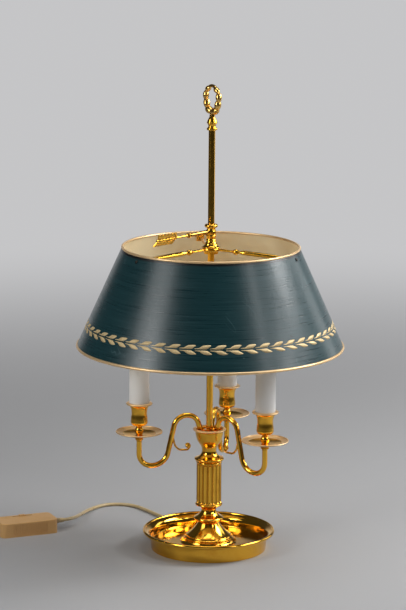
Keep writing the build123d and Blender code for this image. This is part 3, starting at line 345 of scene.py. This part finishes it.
def bump(tree, shader, height, strength, distance):
    """Raises and lowers the surface by a height of about 0 to 1, in the look only."""
    node = add(tree, "ShaderNodeBump",
               {"Height": height, "Strength": strength, "Distance": distance})
    tree.links.new(node.outputs["Normal"], shader.inputs["Normal"])


def handled(tree, place, smooth, rough, spots):
    """The group of uneven polish between two roughnesses."""
    return add(tree, "ShaderNodeGroup",
               {"Vector": place, "Smooth": smooth, "Rough": rough, "Spot Size": spots},
               node_tree=handling).outputs


def brass(name, clean, tarnished, smooth, rough, streaked=0.0, spots=30.0, metallic=1.0):
    """Polished or satin brass with smudges, some tarnish and, if turned, level polishing lines."""
    tree, shader, place = new_material(name, {"Metallic": metallic})
    touch = handled(tree, place, smooth, rough, spots)
    lines = add(tree, "ShaderNodeGroup", {"Vector": place, "Fineness": POLISHING_LINES},
                node_tree=streaks).outputs
    tree.links.new(mix_colours(tree, touch["Tarnish"], clean, tarnished),
                   shader.inputs["Base Color"])
    tree.links.new(touch["Roughness"], shader.inputs["Roughness"])
    height = maths(tree, "MULTIPLY_ADD", lines["Streak"], streaked, touch["Height"])
    bump(tree, shader, height, strength=0.06, distance=0.2 * MM)
    return tree, shader, place


def rimmed_brass(name, middle, flange_r, lip_z):
    """Polished brass with a satin flange past a radius from its middle and a lip above a height."""
    tree, shader, place = brass(name, GOLD, GOLD_DEEP, smooth=0.15, rough=0.26, streaked=0.4)
    polished = shader.inputs["Base Color"].links[0].from_socket
    gloss = shader.inputs["Roughness"].links[0].from_socket
    off = vector_maths(tree, "SUBTRACT", place, Vector((*middle, 0))).outputs[0]
    level = vector_maths(tree, "MULTIPLY", off, Vector((1, 1, 0))).outputs[0]
    reach = vector_maths(tree, "LENGTH", level).outputs["Value"]
    height = add(tree, "ShaderNodeSeparateXYZ", {0: place}).outputs["Z"]
    flange = ramp(tree, reach, flange_r - FLANGE_BLEND, flange_r + FLANGE_BLEND)
    lip = ramp(tree, height, lip_z - LIP_BLEND, lip_z + LIP_BLEND)
    # The paler flange and lip: a satin finish, and partly a painted reflection of the floor
    satin = maths(tree, "MAXIMUM", flange, lip)
    tree.links.new(mix_colours(tree, satin, polished, RIM_GOLD), shader.inputs["Base Color"])
    dull = maths(tree, "MULTIPLY", satin, RIM_GLOSS)
    tree.links.new(maths(tree, "MAXIMUM", gloss, dull), shader.inputs["Roughness"])
    tree.links.new(ramp(tree, satin, 0, 1, 1.0, RIM_METALLIC), shader.inputs["Metallic"])


def fluted_brass(name):
    """Brass with painted shade along the edges of the flutes."""
    tree, shader, place = brass(name, GOLD, GOLD_DEEP, smooth=0.12, rough=0.22, streaked=0.2)
    clean = shader.inputs["Base Color"].links[0].from_socket
    turn = add(tree, "ShaderNodeTexGradient", {"Vector": place},
               gradient_type="RADIAL").outputs["Fac"]
    flute = maths(tree, "MULTIPLY_ADD", turn, FLUTES, FLUTE_START)
    off_middle = maths(tree, "PINGPONG", flute, 0.5)
    off_edge = maths(tree, "ABSOLUTE", maths(tree, "SUBTRACT", off_middle, FLUTE_EDGE))
    # painted shade at the flutes' edges
    edge_shade = ramp(tree, off_edge, *FLUTE_SHADE_RANGE, high=FLUTE_SHADE_MOST)
    tree.links.new(mix_colours(tree, edge_shade, clean, FLUTE_SHADE), shader.inputs["Base Color"])


def near_line(tree, place, start, end, width):
    """1 on a straight mark from start to end, in mm, and 0 beyond its width."""
    start, end = Vector(start) * MM, Vector(end) * MM
    run = end - start
    from_start = vector_maths(tree, "SUBTRACT", place, start).outputs[0]
    along = vector_maths(tree, "DOT_PRODUCT", from_start, run / run.length_squared)
    share = add(tree, "ShaderNodeClamp", {"Value": along.outputs["Value"]}).outputs[0]
    foot = vector_maths(tree, "SCALE", run)
    tree.links.new(share, foot.inputs["Scale"])
    gap = vector_maths(tree, "DISTANCE", from_start, foot.outputs[0]).outputs["Value"]
    return ramp(tree, gap, width * MM, width * MARK_CORE * MM)


def shade_paint(name):
    """Dark blue-green paint on brushed sheet: streaks, chips, scratches, a painted bead shadow."""
    tree, shader, place = new_material(name, {"Coat Weight": 0.12, "Coat Roughness": 0.2})
    streak = add(tree, "ShaderNodeGroup", {"Vector": place, "Fineness": STREAK_FINENESS},
                 node_tree=streaks).outputs["Streak"]
    scratch = add(tree, "ShaderNodeGroup", {"Vector": place, "Share": SCRATCH_SHARE},
                  node_tree=scratches).outputs["Scratch"]
    chips = add(tree, "ShaderNodeTexVoronoi", {"Vector": place, "Scale": CHIP_FINENESS})
    chip = ramp(tree, chips.outputs["Distance"], *CHIP_RANGE)
    dark_scratch = near_line(tree, place, *DARK_SCRATCH_ENDS, DARK_SCRATCH_WIDTH)
    height = add(tree, "ShaderNodeSeparateXYZ", {0: place}).outputs["Z"]
    # painted shadow under the top bead
    bead_shadow = ramp(tree, height, BEAD_SHADOW_FROM_Z, BEAD_SHADOW_FULL_Z)
    colour = mix_colours(tree, streak, PAINT, PAINT_STREAK)
    for mask, other in ((scratch, PAINT_SCRATCH), (chip, PAINT_CHIP),
                        (dark_scratch, DARK_SCRATCH), (bead_shadow, BEAD_SHADOW)):
        colour = mix_colours(tree, mask, colour, other)
    tree.links.new(colour, shader.inputs["Base Color"])
    tree.links.new(ramp(tree, streak, 0, 1, *PAINT_ROUGHNESS), shader.inputs["Roughness"])
    bump(tree, shader, streak, strength=0.14, distance=0.3 * MM)


def plain_material(name, colour, other, roughness, grain, strength, spots, sockets):
    """A coated or moulded surface: two close shades in soft spots over a fine grain."""
    tree, shader, place = new_material(name, sockets)
    touch = handled(tree, place, roughness - GLOSSIER, roughness + DULLER, spots)
    tree.links.new(mix_colours(tree, touch["Tarnish"], colour, other),
                   shader.inputs["Base Color"])
    tree.links.new(touch["Roughness"], shader.inputs["Roughness"])
    bump(tree, shader, noise(tree, place, grain, Detail=3.0), strength, distance=0.2 * MM)


brass("brass_mirror", GOLD, GOLD_DEEP, smooth=0.05, rough=0.13, streaked=0.3)
brass("brass_polished", GOLD, GOLD_DEEP, smooth=0.09, rough=0.18, streaked=0.4)
brass("brass_cast", (0.86, 0.53, 0.14), (0.56, 0.29, 0.06), smooth=0.12, rough=0.26, spots=60.0)
brass("brass_rim", RIM_GOLD, (0.66, 0.41, 0.18), smooth=0.32, rough=0.44, streaked=0.4,
      metallic=RIM_METALLIC)
# Darker brass for the key's screw: a painted dark reflection and shade
brass("brass_dark_reflection", (0.42, 0.22, 0.045), (0.26, 0.12, 0.02), smooth=0.22, rough=0.36, streaked=0.2)
shade_paint("shade_paint")
fluted_brass("brass_fluted")
for row in PLAIN_MATERIALS:
    plain_material(*row)

# --- Shade ----------------------------------------------------------------------------------------
SHADE_FOOT_R, SHADE_TOP_R = 178.3 * MM, 118.0 * MM
SHADE_FOOT_Z, SHADE_TOP_Z = 280.5 * MM, 414.5 * MM
SHADE_LEAN = math.atan2(SHADE_FOOT_R - SHADE_TOP_R, SHADE_TOP_Z - SHADE_FOOT_Z)
SHADE_WALL = 0.8 * MM
SHADE_STEPS = 240
CREASE = 1                   # radians; a sharper edge isn't smoothed
LAUREL_PAIRS = 52
LAUREL_Z = 309.8 * MM
LAUREL_SPREAD = 0.9          # share of the leaves' height across the band
LAUREL_SINK = 0.3 * MM       # how deep the leaves' undersides lie in the wall
LEAF_EDGE_OUT = 0.10         # how far a leaf's edge stands out, in mm
LEAF_CROWN = 0.16            # how much further its middle stands out, in mm
# How far along the band, lower edge and upper edge, in mm, from a leaf's stalk to its tip
UPPER_LEAF = [
    (0.0, 0.9, 1.7), (3.0, 0.9, 2.0), (6.1, 0.7, 2.4), (8.8, 0.6, 4.8), (11.6, 0.6, 6.3),
    (15.6, 0.9, 6.7), (18.0, 2.4, 6.8), (20.0, 4.3, 6.6), (21.4, 5.7, 6.0)]
LOWER_LEAF = [
    (0.5, -2.0, -1.2), (3.4, -2.3, -1.3), (6.5, -3.0, -1.3), (9.5, -5.1, -1.2),
    (12.5, -6.9, -1.2), (16.0, -7.6, -1.6), (19.0, -7.5, -3.5), (21.3, -7.2, -5.2),
    (22.4, -6.7, -6.1)]


def finished(name, shape, body, slot, *surfaces):
    """The piece made of a finished bmesh, smooth, riding on its body."""
    mesh = bpy.data.meshes.new(name)
    shape.to_mesh(mesh)
    shape.free()
    for surface in surfaces:
        mesh.materials.append(materials[surface])
    mesh.shade_smooth()
    piece = placed(name, mesh)
    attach(piece, body)
    return piece


def lathe(profile, steps):
    """A closed profile of (radius, height) points spun once round the lamp's axis."""
    shape = bmesh.new()
    corners = [shape.verts.new((radius, 0, height)) for radius, height in profile]
    edges = [shape.edges.new((corners[n - 1], corners[n])) for n in range(len(corners))]
    bmesh.ops.spin(shape, geom=corners + edges, axis=(0, 0, 1), cent=(0, 0, 0),
                   angle=2 * math.pi, steps=steps, use_merge=True)
    bmesh.ops.remove_doubles(shape, verts=shape.verts, dist=1e-7)
    bmesh.ops.recalc_face_normals(shape, faces=shape.faces)
    return shape


def shade_radius(height):
    """The radius of the painted face at a height."""
    share = (height - SHADE_FOOT_Z) / (SHADE_TOP_Z - SHADE_FOOT_Z)
    return SHADE_FOOT_R + (SHADE_TOP_R - SHADE_FOOT_R) * share


def shade_cone():
    """The sheet-metal cone, painted outside and gold inside."""
    wall = SHADE_WALL / math.cos(SHADE_LEAN)
    shape = lathe([(SHADE_FOOT_R, SHADE_FOOT_Z), (SHADE_TOP_R, SHADE_TOP_Z),
                   (SHADE_TOP_R - wall, SHADE_TOP_Z), (SHADE_FOOT_R - wall, SHADE_FOOT_Z)],
                  SHADE_STEPS)
    for edge in shape.edges:
        edge.smooth = edge.calc_face_angle() < CREASE
    for face in shape.faces:
        middle = face.calc_center_median()
        faces_in = face.normal.x * middle.x + face.normal.y * middle.y < 0
        face.material_index = int(faces_in)
    piece = finished("shade_sheet", shape, "shade", "green_paint", "shade_paint", "shade_inside")
    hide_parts("shade_cone")


def laurel_leaf(outline):
    """One flat leaf with a low crown along its middle, as (along, across, out) in metres."""
    shape = bmesh.new()
    bmesh.ops.create_grid(shape, x_segments=len(outline) - 1, y_segments=2, size=0.5)
    for corner in shape.verts:
        along, low, high = outline[round((corner.co.x + 0.5) * (len(outline) - 1))]
        crown = 1 - abs(corner.co.y * 2)
        across = (low + (high - low) * (corner.co.y + 0.5)) * LAUREL_SPREAD
        corner.co = Vector((along, across, LEAF_EDGE_OUT + LEAF_CROWN * crown)) * MM
    bmesh.ops.solidify(shape, geom=shape.faces, thickness=LAUREL_SINK)
    bmesh.ops.recalc_face_normals(shape, faces=shape.faces)
    return shape


def laurel_band():
    """A ring of gilt leaf pairs round the shade, their tips to the right."""
    band = bmesh.new()
    for outline in (UPPER_LEAF, LOWER_LEAF):
        leaf = laurel_leaf(outline)
        flat = bpy.data.meshes.new("leaf")
        leaf.to_mesh(flat)
        leaf.free()
        for pair in range(LAUREL_PAIRS):
            first = len(band.verts)
            band.from_mesh(flat)
            band.verts.ensure_lookup_table()
            for corner in band.verts[first:]:
                along, across, out = corner.co
                height = LAUREL_Z + across * math.cos(SHADE_LEAN)
                radius = shade_radius(height) + out * math.cos(SHADE_LEAN)
                angle = 2 * math.pi * pair / LAUREL_PAIRS + along / shade_radius(LAUREL_Z)
                corner.co = (radius * math.cos(angle), radius * math.sin(angle),
                             height + out * math.sin(SHADE_LEAN))
        bpy.data.meshes.remove(flat)
    finished("laurel_band", band, "shade", "polished_brass", "gilding")


shade_cone()
laurel_band()

# --- Drip pans ------------------------------------------------------------------------------------
PAN_EDGE_R = 30.55 * MM
PAN_EDGE_Z = 165.05 * MM
PAN_BEADS = 84
PAN_BEAD_R = 1.05 * MM


def pan_beads():
    """A row of small beads round the edge of each drip pan."""
    for arm in ARM_TURNS:
        middle = Vector((*arm_middle(arm), PAN_EDGE_Z))
        row = bmesh.new()
        for bead in range(PAN_BEADS):
            angle = 2 * math.pi * bead / PAN_BEADS
            place = middle + Vector((math.cos(angle), math.sin(angle), 0)) * PAN_EDGE_R
            bmesh.ops.create_uvsphere(row, u_segments=8, v_segments=5, radius=PAN_BEAD_R,
                                      matrix=Matrix.Translation(place))
        finished("pan_beads_" + arm, row, "lamp_base", "polished_brass", "brass_rim")


pan_beads()

# --- Arrow key ------------------------------------------------------------------------------------
KEY_PLACE = (Matrix.Translation((0, 0, 435.05 * MM))      # brings +X along the key's screw
             @ Matrix.Rotation(math.radians(228.0), 4, "Z"))
VANE_PLACE = KEY_PLACE @ Matrix.Rotation(math.radians(-30.0), 4, "X")
VANE_FACE = 0.8 * MM         # half the vane's thickness
BARB_FIRST, BARB_PITCH, BARBS = 70.3 * MM, 6.133 * MM, 6
BARB_ROOT = 1.5 * MM         # from the vane's middle line
BARB_RUN = Vector((3.7, 0, 6.9)) * MM
BARB_R = 0.55 * MM
QUILLS_AT = (2.4 * MM, 4.0 * MM)     # from the vane's middle line
QUILL_RUN = Vector((17.0, 0, 0)) * MM
QUILL_R = 0.45 * MM
RIB_TAPER = 0.7
VANE_BALL_AT, VANE_BALL_R = 8.4 * MM, 1.15 * MM
KEY_BALL_AT = 43.5 * MM
# Painted dark reflection on the key's ball: a dark disc inside a raised ring on each side
SPOT_R = 1.5 * MM
SPOT_RING_R = 0.6 * MM        # radius of the ring's own section
SPOT_RING_OUT = 3.45 * MM     # from the ball's middle
SPOT_RING_STEPS = 8
SPOT_OUT = 3.66 * MM
SPOT_STEPS = 20


def key_rib(shape, start, run, radius):
    """A thin raised rib on the vane, from its start along its run."""
    turn = run.to_track_quat("Z", "Y").to_matrix().to_4x4()
    bmesh.ops.create_cone(shape, cap_ends=True, segments=6, radius1=radius,
                          radius2=radius * RIB_TAPER, depth=run.length,
                          matrix=VANE_PLACE @ Matrix.Translation(start + run / 2) @ turn)


def arrow_feathers():
    """Raised barbs, quills and small balls along the edges of the arrow's vane, on both faces."""
    shape = bmesh.new()
    for half in (-1, 1):
        for face in (-1, 1):
            for barb in range(BARBS):
                start = Vector((BARB_FIRST + barb * BARB_PITCH, face * VANE_FACE,
                                half * BARB_ROOT))
                key_rib(shape, start, Vector((BARB_RUN.x, 0, half * BARB_RUN.z)), BARB_R)
            for height in QUILLS_AT:
                start = Vector((BARB_FIRST, face * VANE_FACE, half * height))
                key_rib(shape, start, QUILL_RUN, QUILL_R)
        for barb in range(BARBS):
            place = Vector((BARB_FIRST + BARB_RUN.x + barb * BARB_PITCH, 0, half * VANE_BALL_AT))
            bmesh.ops.create_uvsphere(shape, u_segments=8, v_segments=6, radius=VANE_BALL_R,
                                      matrix=VANE_PLACE @ Matrix.Translation(place))
    finished("arrow_feathers", shape, "arrow_key", "polished_brass", "brass_polished")


def key_dark_spot(name, turn):
    """A ring round a dark disc on one side of the key's ball; the disc is a painted reflection."""
    angles = [2 * math.pi * n / SPOT_RING_STEPS for n in range(SPOT_RING_STEPS)]
    shape = lathe([(SPOT_R + SPOT_RING_R * math.cos(angle),
                    SPOT_RING_OUT + SPOT_RING_R * math.sin(angle)) for angle in angles], SPOT_STEPS)
    ring_faces = len(shape.faces)
    bmesh.ops.create_circle(shape, cap_ends=True, segments=SPOT_STEPS, radius=SPOT_R,
                            matrix=Matrix.Translation((0, 0, SPOT_OUT)))
    shape.faces.ensure_lookup_table()
    # The disc takes the dark material: the painted reflection
    for face in shape.faces[ring_faces:]:
        face.material_index = 1
    bmesh.ops.transform(shape, verts=shape.verts,
                        matrix=KEY_PLACE @ Matrix.Translation((KEY_BALL_AT, 0, 0))
                        @ Matrix.Rotation(turn, 4, "X"))
    finished(name, shape, "arrow_key", "polished_brass", "brass_polished", "screw_dark")


arrow_feathers()
# Painted dark reflections on both sides of the key's ball
key_dark_spot("key_dark_spot_front", -math.pi / 2)
key_dark_spot("key_dark_spot_back", math.pi / 2)

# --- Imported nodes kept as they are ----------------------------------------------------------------
PAN_FLANGE_R = 22.5 * MM     # where the drip pans' satin flange starts
CANDLE_LIP_Z = 203.2 * MM
NO_FLANGE = 1.0              # a radius that no piece reaches
HUB_LIP_Z = 164.4 * MM
WELD_GAP = 1e-6
EDGE_ANGLE = math.radians(28)     # a sharper edge isn't smoothed
NODE_MATERIALS = {
    "brass_hub_cup": ["arm_hub_cup"],
    "brass_mirror": ["dish_base"],
    "brass_fluted": ["fluted_column"],
    "brass_polished": ["cone_foot", "column_base", "column_cap", "arm_hub", "rod_coupler", "rod",
                       "finial_knob", "collar_nuts", "slider_collar", "slider_nut", "spider",
                       "key_arrow"],
    # the key's screw gets the darker brass of a painted dark reflection and shade
    "brass_dark_reflection": ["key_screw"],
    "brass_cast": ["wreath_ring"],
    "brass_rim": ["shade_foot_bead", "shade_top_bead"],
    "candle_card": [],
    "bulb_glass": [],
    "iron": ["base_weight"],
    "felt": ["felt_pad"],
    "steel": ["base_washer", "base_nut", "stem_tube", "arm_nipples", "dimmer_screws"],
    "screw_dark": ["shade_screws"],
    "nickel": ["bulb_caps", "plug_pins"],
    "black_plastic": ["lampholders"],
    "wire": ["lamp_wiring"],
    "cord_sheath": ["dish_relief", "dimmer_relief_lamp", "dimmer_relief_plug", "plug_body"],
    "dimmer_shell": ["dimmer_top", "dimmer_bottom", "dimmer_slider"],
    "brown_plastic": ["coil_tie"],
    "circuit_board": ["dimmer_board"],
}
rimmed_brass("brass_hub_cup", (0, 0), NO_FLANGE, HUB_LIP_Z)
for arm in ARM_TURNS:
    rimmed_brass("brass_cup_" + arm, arm_middle(arm), PAN_FLANGE_R, CANDLE_LIP_Z)
    NODE_MATERIALS["brass_cup_" + arm] = ["drip_pan_" + arm, "candle_cup_" + arm]
    NODE_MATERIALS["brass_polished"].append("arm_" + arm)
    NODE_MATERIALS["candle_card"].append("candle_sleeve_" + arm)
    NODE_MATERIALS["bulb_glass"].append("bulb_glass_" + arm)


def dress(node, material):
    """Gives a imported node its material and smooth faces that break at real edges."""
    mesh = node.data
    mesh.materials.clear()
    mesh.materials.append(material)
    mesh.polygons.foreach_set("use_smooth", [True] * len(mesh.polygons))
    weld = node.modifiers.new("weld", "WELD")
    weld.merge_threshold = WELD_GAP
    split = node.modifiers.new("edges", "EDGE_SPLIT")
    split.split_angle = EDGE_ANGLE


for label, names in NODE_MATERIALS.items():
    for node_name in names:
        dress(nodes[node_name], materials[label])
for cord in (lamp_cord, plug_cord):
    cord.data.materials.append(materials["cord_sheath"])

# --- Floor and light ------------------------------------------------------------------------------
FLOOR_SIZE = 30
FLOOR_COLOUR = (0.36, 0.36, 0.365)
FLOOR_ROUGHNESS = 0.6
FADE_FROM, FADE_TO = 0.5, 2.4     # how far from the lamp the floor turns pale
WEDGE_SLOPE = 1.3                 # of the wedge behind the lamp in which metal sees it pale
WEDGE_BLEND = 0.6
PALE = (0.56, 0.56, 0.57)
ROOM = (0.05, 0.05, 0.053)
BACKDROP_Y = (0.82, 0.96)         # between these directions the room turns into the backdrop
BACKDROP_Z = (0.40, 0.10)
# Name, place, the spot it points at, size, and power in watts
LIGHTS = [
    ("key_right", (1.25, 0.22, 1.22), (0, 0, 0.40), (0.68, 0.66), 23),
    ("edge_right", (1.05, 0.75, 0.55), (0, 0, 0.35), (0.35, 0.70), 1.5),
    ("front_right", (0.90, -0.72, 1.10), (0, 0, 0.40), (0.16, 0.70), 2),
    ("front_left", (-1.14, -0.60, 1.12), (0, 0, 0.40), (0.66, 0.70), 3.8),
    ("fill_left", (-1.02, -0.72, 0.70), (0, 0, 0.20), (0.34, 0.26), 4.2),
    ("fill_right", (1.15, -0.45, 0.70), (0, 0, 0.20), (0.34, 0.26), 2.6),
    ("overhead", (0.2, 0.1, 2.2), (0, 0, 0), (1.20, 1.20), 14),
]


def seen_rays(tree, behind):
    """1 for what the camera sees, and for what metal and glass mirror from behind the lamp."""
    path = add(tree, "ShaderNodeLightPath").outputs
    shiny = maths(tree, "MAXIMUM", path["Is Glossy Ray"], path["Is Transmission Ray"])
    mirrored = maths(tree, "MULTIPLY", shiny, behind)
    return maths(tree, "MAXIMUM", path["Is Camera Ray"], mirrored)


def floor():
    """A plain floor that takes the lamp's shadow and turns evenly pale further away."""
    mesh = bpy.data.meshes.new("floor")
    shape = bmesh.new()
    bmesh.ops.create_grid(shape, x_segments=1, y_segments=1, size=FLOOR_SIZE)
    shape.to_mesh(mesh)
    shape.free()
    piece = placed("floor", mesh)
    tree, shader, place = new_material("floor", {"Base Color": (*FLOOR_COLOUR, 1),
                                                 "Roughness": FLOOR_ROUGHNESS})
    reach = vector_maths(tree, "LENGTH", place).outputs["Value"]
    far = ramp(tree, reach, FADE_FROM, FADE_TO, interpolation_type="SMOOTHSTEP")
    split = add(tree, "ShaderNodeSeparateXYZ", {0: place})
    aside = maths(tree, "ABSOLUTE", split.outputs["X"])
    depth = maths(tree, "MULTIPLY_ADD", aside, -WEDGE_SLOPE, split.outputs["Y"])
    behind = ramp(tree, depth, 0, WEDGE_BLEND)
    share = maths(tree, "MULTIPLY", far, seen_rays(tree, behind))
    glow = add(tree, "ShaderNodeEmission", {"Color": (*PALE, 1)})
    blend = add(tree, "ShaderNodeMixShader", {0: share, 1: shader.outputs[0], 2: glow.outputs[0]})
    tree.links.new(blend.outputs[0], tree.nodes["Material Output"].inputs["Surface"])
    mesh.materials.append(materials["floor"])


def softbox(name, place, aim, size, power):
    """A soft light that points at a spot on the lamp."""
    data = bpy.data.lights.new(name, "AREA")
    data.shape = "RECTANGLE"
    data.size, data.size_y = size
    data.energy = power
    light = placed(name, data)
    light.location = place
    light.rotation_euler = (Vector(aim) - Vector(place)).to_track_quat("-Z", "Y").to_euler()
    light.visible_camera = False


def studio_world():
    """A pale backdrop behind the lamp and a dimmer room in front of it and above."""
    world = bpy.data.worlds.new("studio")
    scene.world = world
    world.use_nodes = True
    tree = world.node_tree
    direction = add(tree, "ShaderNodeTexCoord").outputs["Generated"]
    split = add(tree, "ShaderNodeSeparateXYZ", {0: direction}).outputs
    behind = maths(tree, "MULTIPLY", ramp(tree, split["Y"], *BACKDROP_Y),
                   ramp(tree, split["Z"], *BACKDROP_Z))
    studio = mix_colours(tree, behind, ROOM, PALE)
    tree.links.new(mix_colours(tree, seen_rays(tree, behind), studio, PALE),
                   tree.nodes["Background"].inputs["Color"])


floor()
studio_world()
for row in LIGHTS:
    softbox(*row)

scene.view_settings.view_transform = "Standard"
